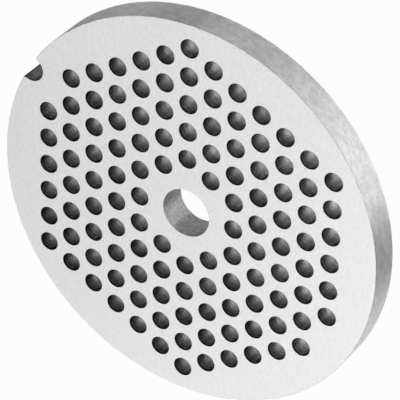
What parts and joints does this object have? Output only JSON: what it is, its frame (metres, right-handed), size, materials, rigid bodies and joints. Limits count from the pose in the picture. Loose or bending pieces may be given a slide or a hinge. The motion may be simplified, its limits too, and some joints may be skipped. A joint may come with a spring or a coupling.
{
  "type": "meat grinder plate",
  "caption": "Flat round steel meat grinder plate with a centre bore, a hexagonal field of mincing holes and a round-bottomed key notch in the rim.",
  "frame": {"origin": "on the bore's axis, in the plane of the face that the plate lies on", "axes": "+Z along the bore's axis, from the face that the plate lies on to the other face; +Y through the middle of the rim notch"},
  "size_m": [0.062, 0.0619, 0.0048],
  "materials": {
    "ground_steel": "ground faces, turned rim, drilled holes, bare"
  },
  "bodies": {
    "root": {"grinder_plate": "ground_steel"}
  },
  "joints": []
}
